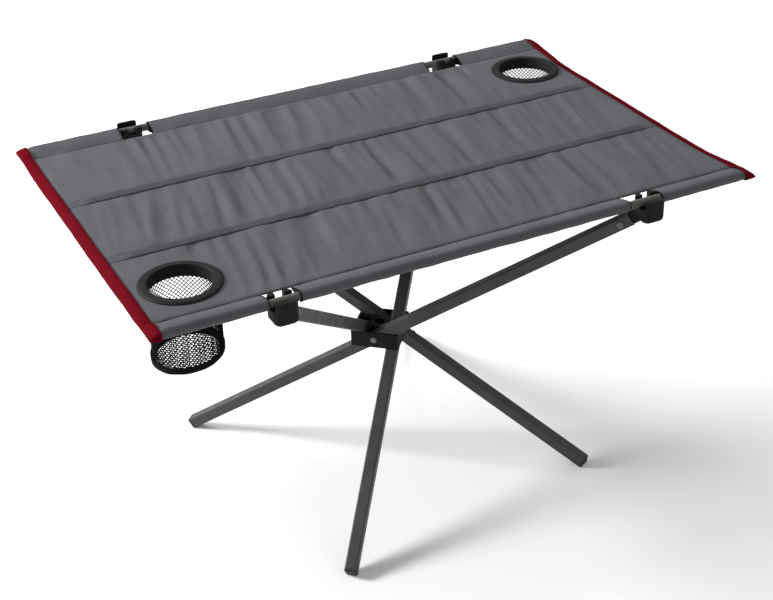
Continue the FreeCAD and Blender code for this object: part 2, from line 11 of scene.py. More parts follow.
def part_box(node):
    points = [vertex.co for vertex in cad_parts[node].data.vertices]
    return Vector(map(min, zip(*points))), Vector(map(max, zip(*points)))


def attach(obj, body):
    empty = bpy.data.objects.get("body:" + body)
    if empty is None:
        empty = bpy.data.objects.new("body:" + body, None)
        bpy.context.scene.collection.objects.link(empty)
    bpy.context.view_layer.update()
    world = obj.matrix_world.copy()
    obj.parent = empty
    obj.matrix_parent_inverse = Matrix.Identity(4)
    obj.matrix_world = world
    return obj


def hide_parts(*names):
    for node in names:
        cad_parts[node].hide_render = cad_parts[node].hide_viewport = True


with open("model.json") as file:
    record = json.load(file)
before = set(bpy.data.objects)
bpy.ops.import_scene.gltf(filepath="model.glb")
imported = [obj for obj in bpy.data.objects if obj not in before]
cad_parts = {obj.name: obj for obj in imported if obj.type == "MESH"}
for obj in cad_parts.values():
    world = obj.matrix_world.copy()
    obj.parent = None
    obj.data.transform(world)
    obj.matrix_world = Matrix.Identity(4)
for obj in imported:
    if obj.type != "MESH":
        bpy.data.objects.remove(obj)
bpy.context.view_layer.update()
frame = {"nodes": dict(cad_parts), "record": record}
nodes = frame["nodes"]

TAU = 2 * math.pi
SIDES = {"left": -1, "right": 1}
EDGES = {"front": -1, "back": 1}

# Sizes in metres. Places come from the frame; these are the looks' own sizes.
CLOTH = 0.0010              # thickness of the doubled cloth
GRID = 0.0034               # spacing of the cloth's mesh
FOLD_WIDTH = 0.013          # sewn fold over a batten
FOLD_RISE = 0.0030
FOLD_END = 0.014            # where the fold dies away before a short end
SEAM_WIDTH = 0.0020         # groove of a sewn line
SEAM_DEPTH = 0.0014
WRINKLE = 0.0034            # height of the wrinkles
WRINKLE_PITCH = 0.030
TAPE_WIDTH = 0.0130
TAPE_DROP = 0.0045          # how far an end tape slopes down between the hems
TAPE_THICK = 0.0008
TAPE_OVERHANG = 0.0022      # how far an end tape passes the hems
HOLLOW = {-1: 0.0010, 1: 0.0040}    # how far the short ends pull in between the hems
NET_PITCH = 0.0025
NET_STRAND = 0.0014
NET_SAG = 0.0018            # sag of the pocket floor's middle
FLOOR_TILT = math.radians(6)
SEAM_TURN = math.radians(-26)       # where round the pocket the net's seam is
SEAM_TAPE = 0.0062          # width of the tape up the net's seam
STITCH_PITCH = 0.0036
STITCH_LENGTH = 0.0026
STITCH_RADIUS = 0.00026
# Sections of a stitch as (place along it, swelling, height over its middle).
STITCH_SECTIONS = ((-0.5, 0.35, -0.6), (-0.3, 0.9, 0.3), (0.3, 0.9, 0.3), (0.5, 0.35, -0.6))
# Camera fitted to the photograph: its place, then its yaw, pitch and roll.
CAMERA_PLACE = (-0.7165, -1.4848, 1.2099)
CAMERA_TURN = tuple(math.radians(angle) for angle in (26.07, 30.88, -1.62))
CAMERA_LENS = 71.11         # millimetres, on a sensor 36 mm wide
CAMERA_SENSOR = 36
FLOOR_REACH = 14.0
FLOOR_TONE = 0.86
WORLD_LIGHT = 0.56


def middle(node):
    low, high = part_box(node)
    return (low + high) / 2


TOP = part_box("cloth_top")[1].z
HALF_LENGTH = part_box("end_binding_right")[1].x
TAPE_INNER = HALF_LENGTH - TAPE_WIDTH
SEAM_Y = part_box("cloth_top")[1].y
ROD = middle("hem_rod_back")
HEM_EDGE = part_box("hem_back")[1].y
HEM_RADIUS = HEM_EDGE - ROD.y
LEVEL = TOP - CLOTH / 2
BATTEN = middle("batten_back")
CUPS = {side: middle("cup_ring_" + side) for side in SIDES}
RING_OUTER = (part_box("cup_ring_left")[1].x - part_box("cup_ring_left")[0].x) / 2
RING_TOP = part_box("cup_ring_left")[1].z
COLLAR_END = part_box("cup_ring_left")[0].z
POCKET_OUTER = (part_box("pocket_tape_left")[1].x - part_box("pocket_tape_left")[0].x) / 2
POCKET_RADIUS = (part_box("pocket_wall_left")[1].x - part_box("pocket_wall_left")[0].x) / 2
POCKET_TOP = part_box("pocket_wall_left")[1].z
POCKET_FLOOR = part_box("pocket_floor_left")[1].z
TAPE_LOW, TAPE_HIGH = (corner.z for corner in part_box("pocket_tape_left"))
COLLAR = 0.0020             # wall of the cup ring's collar
# Hem openings for the hooks, as spans along the table, by the edge they are in (-1 is the front).
OPENINGS = {-1: ((-0.2412, -0.2055), (0.198, 0.2412)), 1: ((-0.2412, -0.2020), (0.192, 0.2412))}


# ---------------------------------------------------------------- finishes

class Finish:
    """A procedural material, built up from noise, threads and bumps in the object's own coordinates."""

    def __init__(self, name, colour, roughness, **sockets):
        self.material = bpy.data.materials.new(name)
        self.material.use_nodes = True
        self.tree = self.material.node_tree
        self.shader = self.tree.nodes["Principled BSDF"]
        self.shader.inputs["Base Color"].default_value = (*colour, 1)
        self.shader.inputs["Roughness"].default_value = roughness
        for socket, value in sockets.items():
            self.shader.inputs[socket.replace("_", " ")].default_value = value
        self.place = self.tree.nodes.new("ShaderNodeTexCoord").outputs["Object"]
        self.normal = None

    def link(self, source, target):
        self.tree.links.new(source, target)

    def math(self, operation, *values):
        node = self.tree.nodes.new("ShaderNodeMath")
        node.operation = operation
        for value, socket in zip(values, node.inputs):
            if isinstance(value, (int, float)):
                socket.default_value = value
            else:
                self.link(value, socket)
        return node.outputs[0]

    def noise(self, size, detail=3.0, stretch=(1, 1, 1)):
        """Noise whose spots are about size metres across, stretched along an axis."""
        mapping = self.tree.nodes.new("ShaderNodeMapping")
        mapping.inputs["Scale"].default_value = [1 / axis for axis in stretch]
        node = self.tree.nodes.new("ShaderNodeTexNoise")
        node.inputs["Scale"].default_value = 1 / size
        node.inputs["Detail"].default_value = detail
        self.link(self.place, mapping.inputs["Vector"])
        self.link(mapping.outputs["Vector"], node.inputs["Vector"])
        return node.outputs["Fac"]

    def axes(self):
        node = self.tree.nodes.new("ShaderNodeSeparateXYZ")
        self.link(self.place, node.inputs[0])
        return node.outputs["X"], node.outputs["Y"], node.outputs["Z"]

    def ripple(self, distance, pitch):
        """A smooth wave from 0 to 1 that repeats every pitch metres of distance."""
        wave = self.math("SINE", self.math("MULTIPLY", distance, TAU / pitch))
        return self.math("MULTIPLY_ADD", wave, 0.5, 0.5)

    def spread(self, value, low, high, to_low, to_high):
        node = self.tree.nodes.new("ShaderNodeMapRange")
        self.link(value, node.inputs["Value"])
        limits = {"From Min": low, "From Max": high, "To Min": to_low, "To Max": to_high}
        for socket, number in limits.items():
            node.inputs[socket].default_value = number
        return node.outputs["Result"]

    def shade(self, factor, first, second):
        """Colour the surface from first to second as factor goes from 0 to 1."""
        node = self.tree.nodes.new("ShaderNodeMix")
        node.data_type = "RGBA"
        node.inputs["A"].default_value = (*first, 1)
        node.inputs["B"].default_value = (*second, 1)
        self.link(factor, node.inputs["Factor"])
        self.link(node.outputs["Result"], self.shader.inputs["Base Color"])

    def mottle(self, colour, factor, low, high, dark, bright):
        """Colour the surface from dark to bright tints of a colour as factor goes from low to high."""
        self.shade(self.spread(factor, low, high, 0, 1), tinted(colour, dark), tinted(colour, bright))

    def paint_shade_bands(self, bands, place):
        """Painted shade: the colour is made darker where place is within a band, given as (middle, half
        width, amount).
        """
        light = 1.0
        for middle, half, amount in bands:
            near = self.spread(self.math("ABSOLUTE", self.math("SUBTRACT", place, middle)),
                               half * 0.75, half * 1.15, 1 - amount, 1)
            light = self.math("MULTIPLY", near, light)
        node = self.tree.nodes.new("ShaderNodeVectorMath")
        node.operation = "SCALE"
        self.link(self.shader.inputs["Base Color"].links[0].from_socket, node.inputs[0])
        self.link(light, node.inputs["Scale"])
        self.link(node.outputs["Vector"], self.shader.inputs["Base Color"])

    def gloss(self, factor, low, high):
        self.link(self.spread(factor, 0.3, 0.7, low, high), self.shader.inputs["Roughness"])

    def bump(self, height, distance, strength=1.0):
        node = self.tree.nodes.new("ShaderNodeBump")
        node.inputs["Distance"].default_value = distance
        node.inputs["Strength"].default_value = strength
        self.link(height, node.inputs["Height"])
        if self.normal is not None:
            self.link(self.normal, node.inputs["Normal"])
        self.normal = node.outputs["Normal"]
        self.link(self.normal, self.shader.inputs["Normal"])

    def soft_edges(self, radius):
        """Catch light along sharp edges, as a moulded or coated edge does."""
        node = self.tree.nodes.new("ShaderNodeBevel")
        node.inputs["Radius"].default_value = radius
        self.normal = node.outputs["Normal"]
        self.link(self.normal, self.shader.inputs["Normal"])


def tinted(colour, amount):
    return tuple(channel * amount for channel in colour)


def powder_coat(name, colour, roughness):
    """Satin powder coat: orange peel, faint mottling and rubbed, lighter patches."""
    finish = Finish(name, colour, roughness, Specular_IOR_Level=0.22)
    finish.soft_edges(0.0005)
    finish.mottle(colour, finish.noise(0.03, 4), 0.3, 0.7, 0.86, 1.14)
    finish.gloss(finish.noise(0.012, 4), roughness - 0.07, roughness + 0.09)
    finish.bump(finish.noise(0.0011, 2), 0.00006)
    return finish.material


def moulded(name, colour, roughness, shine, grain=0.0005):
    """Moulded plastic with a fine spark-eroded grain and slightly polished high spots."""
    finish = Finish(name, colour, roughness, Specular_IOR_Level=shine)
    finish.soft_edges(0.0006)
    finish.mottle(colour, finish.noise(0.02, 3), 0.3, 0.7, 0.8, 1.25)
    finish.gloss(finish.noise(0.008, 3), roughness - 0.08, roughness + 0.08)
    finish.bump(finish.noise(grain, 2), 0.00005)
    return finish.material


def woven(name, colour, thread=0.0011, twill=0.0031, contrast=0.34):
    """Polyester twill: crossed threads, steep diagonal ribs, slubs and uneven dye, with painted shade along
    the folds and hem seams.
    """
    finish = Finish(name, colour, 0.8, Specular_IOR_Level=0.14, Sheen_Weight=0.03, Sheen_Roughness=0.5)
    x, y, z = finish.axes()
    fallen = finish.math("SUBTRACT", TOP, z)
    along = finish.math("MULTIPLY_ADD", finish.math("SIGN", y), fallen, y)
    warp = finish.ripple(x, thread)
    weft = finish.ripple(along, thread)
    over = finish.ripple(finish.math("ADD", x, along), 2 * thread)
    threads = finish.math("ADD", finish.math("MULTIPLY", warp, over),
                          finish.math("MULTIPLY", weft, finish.math("SUBTRACT", 1.0, over)))
    rib = finish.ripple(finish.math("MULTIPLY_ADD", along, 0.62, x), twill)
    cross = finish.ripple(finish.math("MULTIPLY_ADD", x, -0.5, along), twill * 1.3)
    twilled = finish.math("MULTIPLY_ADD", rib, 0.62, finish.math("MULTIPLY", cross, 0.38))
    slubs = finish.noise(0.0022, 2, (1, 5, 1))
    dye = finish.noise(0.05, 5)
    mixed = finish.math("MULTIPLY_ADD", twilled, 0.46, finish.math("MULTIPLY", slubs, 0.26))
    mixed = finish.math("MULTIPLY_ADD", dye, 0.28, mixed)
    finish.mottle(colour, mixed, 0.22, 0.82, 1 - contrast, 1 + contrast)
    # Painted shade: the colour is made darker over the slope of each fold, along its front edge and along
    # the hem seams, on top of their modelled relief.
    finish.paint_shade_bands([(edge * BATTEN.y, FOLD_WIDTH / 2, 0.20) for edge in (-1, 1)]
                  + [(edge * BATTEN.y - FOLD_WIDTH / 2, 0.0013, 0.45) for edge in (-1, 1)]
                  + [(edge * SEAM_Y, 0.0014, 0.55) for edge in (-1, 1)], y)
    finish.bump(finish.noise(0.014, 4, (1, 2.5, 1)), 0.0007, 0.6)
    finish.bump(finish.math("MULTIPLY_ADD", twilled, 0.6, threads), 0.00025, 0.8)
    return finish.material


def ribbed_tape(name, colour, rib=0.0011):
    """Woven binding tape with fine ribs across it."""
    finish = Finish(name, colour, 0.82, Specular_IOR_Level=0.03)
    x, y, z = finish.axes()
    ribs = finish.ripple(finish.math("ADD", finish.math("ADD", x, y), z), rib)
    cross = finish.ripple(finish.math("SUBTRACT", y, x), rib * 1.7)
    wear = finish.noise(0.018, 5)
    mixed = finish.math("MULTIPLY_ADD", ribs, 0.35, finish.math("MULTIPLY", wear, 0.65))
    finish.mottle(colour, mixed, 0.25, 0.8, 0.78, 1.2)
    finish.bump(finish.math("ADD", ribs, cross), 0.00012, 0.8)
    return finish.material


GREY = (0.070, 0.0725, 0.0785)
RED = (0.098, 0.0004, 0.0048)
FINISHES = {
    "grey_cloth": woven("grey cloth", GREY),
    "red_tape": ribbed_tape("red tape", RED),
    "black_mesh": ribbed_tape("black net", (0.008, 0.008, 0.009), 0.0007),
    "black_tape": ribbed_tape("black tape", (0.006, 0.006, 0.007), 0.0013),
    "cup_plastic": moulded("cup ring plastic", (0.0085, 0.0078, 0.0088), 0.6, 0.12),
    "black_plastic": moulded("black plastic", (0.0055, 0.0050, 0.0050), 0.55, 0.12),
    "foot_plastic": moulded("foot plastic", (0.018, 0.018, 0.018), 0.55, 0.25),
    "dark_paint": powder_coat("leg powder coat", (0.046, 0.046, 0.048), 0.5),
    "rod_paint": powder_coat("rod powder coat", (0.070, 0.070, 0.062), 0.5),
    "black_steel": powder_coat("blackened steel", (0.11, 0.11, 0.112), 0.34),
    "fibreglass": moulded("fibreglass", (0.05, 0.05, 0.052), 0.45, 0.3),
    "thread": ribbed_tape("sewing thread", (0.125, 0.128, 0.136), 0.0009),
    # Painted shade: the hem stitches are real stitches, coloured dark to stand for the shade in the seam
    # grooves.
    "seam_shade": ribbed_tape("seam thread in painted shade", (0.028, 0.029, 0.032), 0.0009),
    "red_thread": ribbed_tape("red sewing thread", (0.055, 0.001, 0.004), 0.0009),
}


def finish_cad_nodes():
    """Give every node that stays its finish, from the slot that the record states."""
    for part in frame["record"]["subparts"]:
        node = nodes[part["node"]]
        material = FINISHES[part["material_slot"]]
        node.data.materials.clear()
        node.data.materials.append(material)


# ---------------------------------------------------------------- mesh helpers


def add_object(name, vertices, faces, slot):
    """A smooth piece that rides on the top and wears the finish of a slot."""
    mesh = bpy.data.meshes.new(name)
    mesh.from_pydata([tuple(map(float, point)) for point in vertices], [], faces)
    mesh.update()
    mesh.shade_smooth()
    piece = bpy.data.objects.new(name, mesh)
    bpy.context.scene.collection.objects.link(piece)
    mesh.materials.append(FINISHES[slot])
    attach(piece, "top")
    return piece


def drift(x, y, z):
    """Smooth noise from -1 to 1 that wanders with place."""
    return noise.noise(Vector((x, y, z)))


def grid_faces(rows, columns, wrap=False):
    """Quads of a grid whose points run row by row; wrap joins the last column to the first."""
    faces = []
    for row in range(rows - 1):
        for column in range(columns if wrap else columns - 1):
            after = (column + 1) % columns
            faces.append((row * columns + column, row * columns + after,
                          (row + 1) * columns + after, (row + 1) * columns + column))
    return faces


def apply_modifier(piece, kind, **values):
    modifier = piece.modifiers.new(kind.lower(), kind)
    for name, value in values.items():
        setattr(modifier, name, value)
    bpy.context.view_layer.objects.active = piece
    with bpy.context.temp_override(object=piece, active_object=piece, selected_objects=[piece]):
        bpy.ops.object.modifier_apply(modifier=modifier.name)


def turned(name, outline, centre, slot, steps=96):
    """Closed outline of (radius, height) points turned about a vertical axis."""
    points = []
    for step in range(steps):
        angle = TAU * step / steps
        for radius, height in outline:
            points.append((centre.x + radius * math.cos(angle), centre.y + radius * math.sin(angle), height))
    count = len(outline)
    faces = []
    for step in range(steps):
        for index in range(count):
            first = step * count
            second = (step + 1) % steps * count
            after = (index + 1) % count
            faces.append((first + index, second + index, second + after, first + after))
    return add_object(name, points, faces, slot)


def rounded_outline(corners, steps=5):
    """Corners given as (radius, height, rounding) become a smooth closed outline."""
    outline = []
    count = len(corners)
    for index, (across, up, rounding) in enumerate(corners):
        here = Vector((across, up))
        before = (Vector(corners[index - 1][:2]) - here).normalized()
        after = (Vector(corners[(index + 1) % count][:2]) - here).normalized()
        start, end = here + before * rounding, here + after * rounding
        for step in range(steps + 1):
            share = step / steps
            outline.append(start.lerp(here, share).lerp(here.lerp(end, share), share))
    return [tuple(point) for point in outline]


def stitches(name, runs, slot):
    """Short raised stitches along runs of points; each run is (points, up directions)."""
    sides = 6
    vertices, faces = [], []
    for points, ups in runs:
        lengths = np.concatenate([[0], np.cumsum([(b - a).length for a, b in zip(points, points[1:])])])
        count = int(lengths[-1] / STITCH_PITCH)
        for number in range(count):
            at = (number + 0.5) * lengths[-1] / count
            index = min(int(np.searchsorted(lengths, at, side="right")) - 1, len(points) - 2)
            share = (at - lengths[index]) / (lengths[index + 1] - lengths[index])
            centre = points[index].lerp(points[index + 1], share)
            ahead = (points[index + 1] - points[index]).normalized()
            up = ups[index]
            side = ahead.cross(up).normalized()
            first = len(vertices)
            for place, swell, lift in STITCH_SECTIONS:
                for turn in range(sides):
                    angle = TAU * turn / sides
                    vertices.append(centre + ahead * place * STITCH_LENGTH
                                    + up * STITCH_RADIUS * (lift + swell * math.sin(angle))
                                    + side * STITCH_RADIUS * swell * math.cos(angle) * 1.2)
            for ring in range(3):
                for turn in range(sides):
                    after = (turn + 1) % sides
                    faces.append((first + ring * sides + turn, first + ring * sides + after,
                                  first + (ring + 1) * sides + after, first + (ring + 1) * sides + turn))
            faces.append(tuple(first + turn for turn in reversed(range(sides))))
            faces.append(tuple(first + 3 * sides + turn for turn in range(sides)))
    return add_object(name, vertices, faces, slot)


# ---------------------------------------------------------------- cloth top

def ramp(value, width):
    """0 at value 0, rising smoothly to 1 at width."""
    share = min(max(value / width, 0.0), 1.0)
    return share * share * (3 - 2 * share)


def slack(y):
    """1 between the hems, where the short ends hang free, and 0 at the corners."""
    return 1 - ramp(abs(y) - 0.150, 0.075)


def tape_line(side, y):
    """Inner edge, outer edge and drop of the end tape at y."""
    wander = 0.0012 * drift(side * 3.0, y * 16, 4.0)
    outer = HALF_LENGTH - HOLLOW[side] * slack(y) + wander * (1 - slack(y) * 0.5)
    drop = TAPE_DROP * slack(y) + 0.0012 * (1 + drift(side * 5.0, y * 28, 9.0))
    return outer - TAPE_WIDTH * math.sqrt(1 - (drop / TAPE_WIDTH) ** 2), outer, drop


def end_fall(x, y):
    """How far the cloth slopes down with the tape at a short end."""
    side = 1 if x > 0 else -1
    inner, outer, drop = tape_line(side, y)
    share = max((abs(x) - inner + 0.004) / (outer - inner + 0.004), 0.0)
    return -drop * min(share, 1.0) ** 1.5


def near_cup(x, y, reach):
    """1 away from the cups, falling to 0 at their rings."""
    held = 1.0
    for cup in CUPS.values():
        held *= ramp(math.hypot(x - cup.x, y - cup.y) - RING_OUTER + 0.003, reach)
    return held


def wrinkles(x, y):
    """Gathers that run across the table, different in each of the three panels."""
    panel = 0 if y < -BATTEN.y else (1 if y < BATTEN.y else 2)
    lower = (-SEAM_Y, -BATTEN.y, BATTEN.y)[panel]
    upper = (-BATTEN.y, BATTEN.y, SEAM_Y)[panel]
    held = (0.3 + 0.7 * ramp(y - lower, 0.040)) * (0.15 + 0.85 * ramp(upper - y, 0.016))
    held *= (0.25 + 0.75 * ramp(TAPE_INNER - abs(x), 0.090)) * near_cup(x, y, 0.050)
    held *= ramp(SEAM_Y - abs(y), 0.006) * ramp(abs(abs(y) - BATTEN.y) - FOLD_WIDTH / 2 + 0.002, 0.006)
    shift = 0.016 * drift(x * 4, y * 5, 3.1 + panel)
    across = (x - 0.16 * y + shift) / WRINKLE_PITCH
    broad = drift(across * 0.8, y * 4.0, 5.7 * panel + 2.0)
    sharp = drift(across * 1.5, y * 5.0, 11.3 * panel)
    fine = drift(across * 3.6, y * 9.0, 7.9 * panel + 9.0)
    swell = 0.9 + 1.0 * drift(x * 4.2, y * 6, 20.0 + panel)
    crease = (0.5 - math.sqrt(sharp * sharp + 0.0009) * 1.9) * 0.95
    return WRINKLE * held * max(swell, 0.3) * (0.8 * broad + 1.2 * crease + 0.42 * fine)


def fold_rise(x, y):
    """Rise of the sewn folds over the battens: up at the back seam, then a long slope to the front."""
    dying = ramp(TAPE_INNER - FOLD_END - abs(x), 0.012)
    rise = 0.0
    for centre in (-BATTEN.y, BATTEN.y):
        waver = 0.0004 * drift(x * 18, centre * 40, 2.0)
        place = y - centre - waver
        edge = FOLD_WIDTH / 2
        share = (edge - place) / FOLD_WIDTH
        if 0 <= share <= 1:
            puckered = 1 + 0.3 * drift(x * 55, centre * 9, 6.0)
            rise += FOLD_RISE * dying * puckered * ramp(share, 0.26) * (1 - share) ** 0.8 * 1.2
        for seam in (-edge, edge):
            rise -= SEAM_DEPTH * (0.3 + 0.7 * dying) * math.exp(-((place - seam) / (SEAM_WIDTH / 2)) ** 2)
    return rise


def panel_height(x, y):
    """Middle of the cloth between the hem seams."""
    groove = -SEAM_DEPTH * math.exp(-((abs(y) - SEAM_Y) / SEAM_WIDTH) ** 2)
    return LEVEL + fold_rise(x, y) + wrinkles(x, y) + groove + end_fall(x, y)


def panel_rows():
    """y of each row of the flat part, closer together at the folds and the hem seams."""
    steps = round(2 * SEAM_Y / GRID)
    rows = list(np.linspace(-SEAM_Y, SEAM_Y, steps + 1))
    for centre in (-BATTEN.y, BATTEN.y):
        rows = [y for y in rows if not centre - 0.0108 < y < centre + 0.0088]
        rows += list(np.linspace(centre - 0.0105, centre + 0.0085, 22))
    edge = SEAM_Y - 0.0032
    rows = [y for y in rows if abs(y) < edge - 0.001]
    rows += list(np.linspace(-SEAM_Y, -edge, 4)) + list(np.linspace(edge, SEAM_Y, 4))
    return sorted(rows)


def hem_profile():
    """Section of the back hem as (y, z): from the seam over the rod, round it and back under."""
    radius = HEM_RADIUS - CLOTH / 2
    centre = Vector((ROD.y, ROD.z))
    seam = Vector((SEAM_Y + 0.0004, LEVEL - SEAM_DEPTH))
    run = seam - centre
    touch = math.atan2(run.y, run.x) - math.acos(radius / run.length)
    crown = centre + radius * Vector((math.cos(touch), math.sin(touch)))
    # The cloth bellies up a little between the seam and the crown.
    points = []
    for step in range(1, 8):
        share = step / 8
        point = seam.lerp(crown, share)
        points.append(point + Vector((0, 0.0007 * math.sin(share * math.pi))))
    turns = 22
    for step in range(turns + 1):
        angle = touch - 2 * touch * step / turns
        points.append(centre + radius * Vector((math.cos(angle), math.sin(angle))))
    low = Vector((seam.x, ROD.z - CLOTH))
    base = points[-1]
    return points + [base.lerp(low, step / 6) for step in range(1, 7)]


def hem_point(x, outward, point):
    """A place on a hem at x, with its short puckers and its flattened end."""
    offset = Vector((point.x - ROD.y, point.y - ROD.z))
    pucker = drift(x * 42, outward * 7 + point.x * 30, point.y * 90)
    ripple = drift(x * 95, outward * 3, point.y * 50)
    offset *= 1 + 0.11 * pucker + 0.035 * ripple
    flat = ramp(abs(x) - TAPE_INNER + 0.006, 0.012)
    inside = ramp(point.x - SEAM_Y, 0.012)
    offset.y *= 1 - 0.55 * flat * inside
    offset.x *= 1 + 0.12 * flat * ramp(offset.x, 0.004)
    return outward * (ROD.y + offset.x), ROD.z + offset.y


def columns_along():
    """x of each column of cloth, with columns exactly on the hem openings."""
    end = HALF_LENGTH - 0.003
    stops = sorted({-end, end, *(stop for spans in OPENINGS.values() for span in spans for stop in span)})
    columns = []
    for start, finish in zip(stops, stops[1:]):
        count = max(2, round((finish - start) / GRID))
        columns += list(np.linspace(start, finish, count, endpoint=False))
    return columns + [end]


def in_opening(outward, x):
    return any(start < x < finish for start, finish in OPENINGS[outward])


def pulled_in(x, y):
    """x of the cloth once its short ends are drawn in between the hems."""
    side = 1 if x > 0 else -1
    share = ramp(abs(x) - 0.25, TAPE_INNER - 0.25)
    return x - side * HOLLOW[side] * slack(y) * share


def make_cloth():
    """One cut of cloth: over the panel, round both rods and back to the seams underneath."""
    columns = columns_along()
    profile = hem_profile()
    rows = [(-1, point) for point in reversed(profile)]
    rows += [(0, y) for y in panel_rows()]
    rows += [(1, point) for point in profile]
    vertices = []
    for outward, place in rows:
        for x in columns:
            if outward:
                y, z = hem_point(x, outward, place)
                vertices.append((x, y, z + end_fall(x, y)))
            else:
                vertices.append((pulled_in(x, place), place, panel_height(x, place)))
    width = len(columns)
    hole = POCKET_RADIUS - 0.0004
    faces = []
    for face in grid_faces(len(rows), width):
        row, column = divmod(face[0], width)
        between = (columns[column] + columns[column + 1]) / 2
        outward = rows[row][0] or rows[row + 1][0]
        if outward and in_opening(outward, between):
            continue
        corners = [vertices[corner] for corner in face]
        if any(math.hypot(x - cup.x, y - cup.y) < hole for x, y, z in corners for cup in CUPS.values()):
            continue
        faces.append(face)
    piece = add_object("cloth_sheet", vertices, faces, "grey_cloth")
    drop_loose(piece)
    apply_modifier(piece, "SOLIDIFY", thickness=CLOTH, offset=0)
    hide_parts("cloth_top", "hem_front", "hem_back")


def drop_loose(piece):
    clean = bmesh.new()
    clean.from_mesh(piece.data)
    loose = [vertex for vertex in clean.verts if not vertex.link_faces]
    bmesh.ops.delete(clean, geom=loose, context="VERTS")
    clean.to_mesh(piece.data)
    clean.free()


def make_cloth_stitches():
    """Sewn lines along the hem seams and the back edge of each fold; the hem stitches are dark, as painted
    shade in the seam grooves.
    """
    runs = []
    span = np.linspace(-TAPE_INNER + 0.004, TAPE_INNER - 0.004, 160)
    for y in (FOLD_WIDTH / 2 - BATTEN.y - 0.0006, FOLD_WIDTH / 2 + BATTEN.y - 0.0006):
        runs.append(sewn_line(span, y))
    stitches("fold_stitches", runs, "thread")
    # The hem stitches wear a dark finish: real stitches carrying painted shade of the seam grooves.
    stitches("hem_stitches", [sewn_line(span, y) for y in (-SEAM_Y, SEAM_Y)], "seam_shade")


def sewn_line(span, y):
    points = [Vector((pulled_in(x, y), y, panel_height(x, y) + CLOTH / 2 + STITCH_RADIUS * 0.4))
              for x in span]
    return points, [Vector((0, 0, 1))] * len(points)


def make_opening_edges():
    """Dark turned edge of the cloth at both ends of each hem opening."""
    profile = hem_profile()
    for edge, outward in EDGES.items():
        for number, x in enumerate(stop for opening in OPENINGS[outward] for stop in opening):
            path = [Vector((x, *hem_point(x, outward, point))) for point in profile]
            tube("opening_edge_%s_%d" % (edge, number), path, 0.0008, "black_tape")


def tube(name, path, radius, slot, sides=8):
    """Round cord along a path that lies in a plane square to X."""
    vertices = []
    for index, point in enumerate(path):
        before = path[max(index - 1, 0)]
        after = path[min(index + 1, len(path) - 1)]
        ahead = (after - before).normalized()
        across = ahead.cross(Vector((1, 0, 0))).normalized()
        for turn in range(sides):
            angle = TAU * turn / sides
            vertices.append(point + radius * (Vector((math.cos(angle), 0, 0)) + across * math.sin(angle)))
    faces = grid_faces(len(path), sides, wrap=True)
    faces += [tuple(range(sides)), tuple(reversed(range(len(vertices) - sides, len(vertices))))]
    return add_object(name, vertices, faces, slot)


def make_sleeves():
    """Sleeve of cloth sewn under the panel round each batten."""
    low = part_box("batten_sleeve_back")[0].z
    radius = BATTEN.z - low - CLOTH / 2
    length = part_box("batten_back")[1].x - 0.004
    angles = np.linspace(math.radians(200), math.radians(340), 15)
    spans = np.linspace(-length, length, 150)
    for edge, outward in EDGES.items():
        centre = outward * BATTEN.y
        vertices = []
        for x in spans:
            sag = 1 + 0.05 * drift(x * 30, outward, 1.0)
            section = [(-0.0062, LEVEL - 0.0013 - BATTEN.z), (-0.0050, LEVEL - 0.0016 - BATTEN.z)]
            section += [(radius * math.cos(angle), radius * math.sin(angle) * sag) for angle in angles]
            section += [(0.0050, LEVEL - 0.0016 - BATTEN.z), (0.0062, LEVEL - 0.0013 - BATTEN.z)]
            vertices += [(x, centre + across, BATTEN.z + up) for across, up in section]
        count = len(section)
        piece = add_object("sleeve_sheet_" + edge, vertices, grid_faces(len(spans), count), "grey_cloth")
        apply_modifier(piece, "SOLIDIFY", thickness=CLOTH * 0.6, offset=0)
        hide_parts("batten_sleeve_" + edge)


# ---------------------------------------------------------------- end tapes

def make_tapes():
    """Red tape folded over each short end, sloping down between the hems and rippled at the corners."""
    reach = HEM_EDGE + TAPE_OVERHANG
    stations = np.linspace(-reach, reach, 190)
    steps = 9
    for name, side in SIDES.items():
        vertices = []
        seam = []
        for y in stations:
            inner, outer, drop = tape_line(side, y)
            hem = ramp(abs(y) - SEAM_Y, 0.010) * (1 - 0.45 * ramp(abs(y) - HEM_EDGE + 0.002, 0.0042))
            ripple = 0.0004 * drift(side * 2.0, y * 75, 3.0)
            row = []
            for step in range(steps + 1):
                share = step / steps
                puff = 0.0010 + hem * (0.0040 - 0.0026 * share)
                puff *= math.sqrt(1 - share ** 5)
                fall = drop * share ** 1.5
                row.append((side * (inner + (outer - inner) * share), LEVEL - fall + ripple * share, puff))
            upper = [(x, y, z + puff) for x, z, puff in row]
            under = [(x, y, z - puff) for x, z, puff in reversed(row[:-1])]
            vertices += upper + under
            seam.append(Vector(upper[2]) + Vector((0, 0, TAPE_THICK / 2 + STITCH_RADIUS * 0.4)))
        count = 2 * steps + 1
        ends = [tuple(reversed(range(count))), tuple(range(len(vertices) - count, len(vertices)))]
        faces = grid_faces(len(stations), count) + ends
        piece = add_object("tape_sheet_" + name, vertices, faces, "red_tape")
        apply_modifier(piece, "SOLIDIFY", thickness=TAPE_THICK, offset=0)
        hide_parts("end_binding_" + name)
        stitches("tape_stitches_" + name, [(seam, [Vector((0, 0, 1))] * len(seam))], "red_thread")


# ---------------------------------------------------------------- cup holders

def make_rings():
    """Moulded ring: a bevelled flange on the cloth and a collar through it."""
    for side, cup in CUPS.items():
        inner = RING_OUTER - 0.010
        neck = inner + COLLAR
        outline = rounded_outline([
            (inner, COLLAR_END, 0.0005), (inner, RING_TOP, 0.0010),
            (RING_OUTER - 0.0026, RING_TOP, 0.0009), (RING_OUTER, TOP + 0.0011, 0.0005),
            (RING_OUTER, TOP + 0.0003, 0.0003), (neck, TOP + 0.0003, 0.0002), (neck, COLLAR_END, 0.0005)])
        piece = turned("ring_" + side, outline, cup, "cup_plastic", 128)
        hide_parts("cup_ring_" + side)


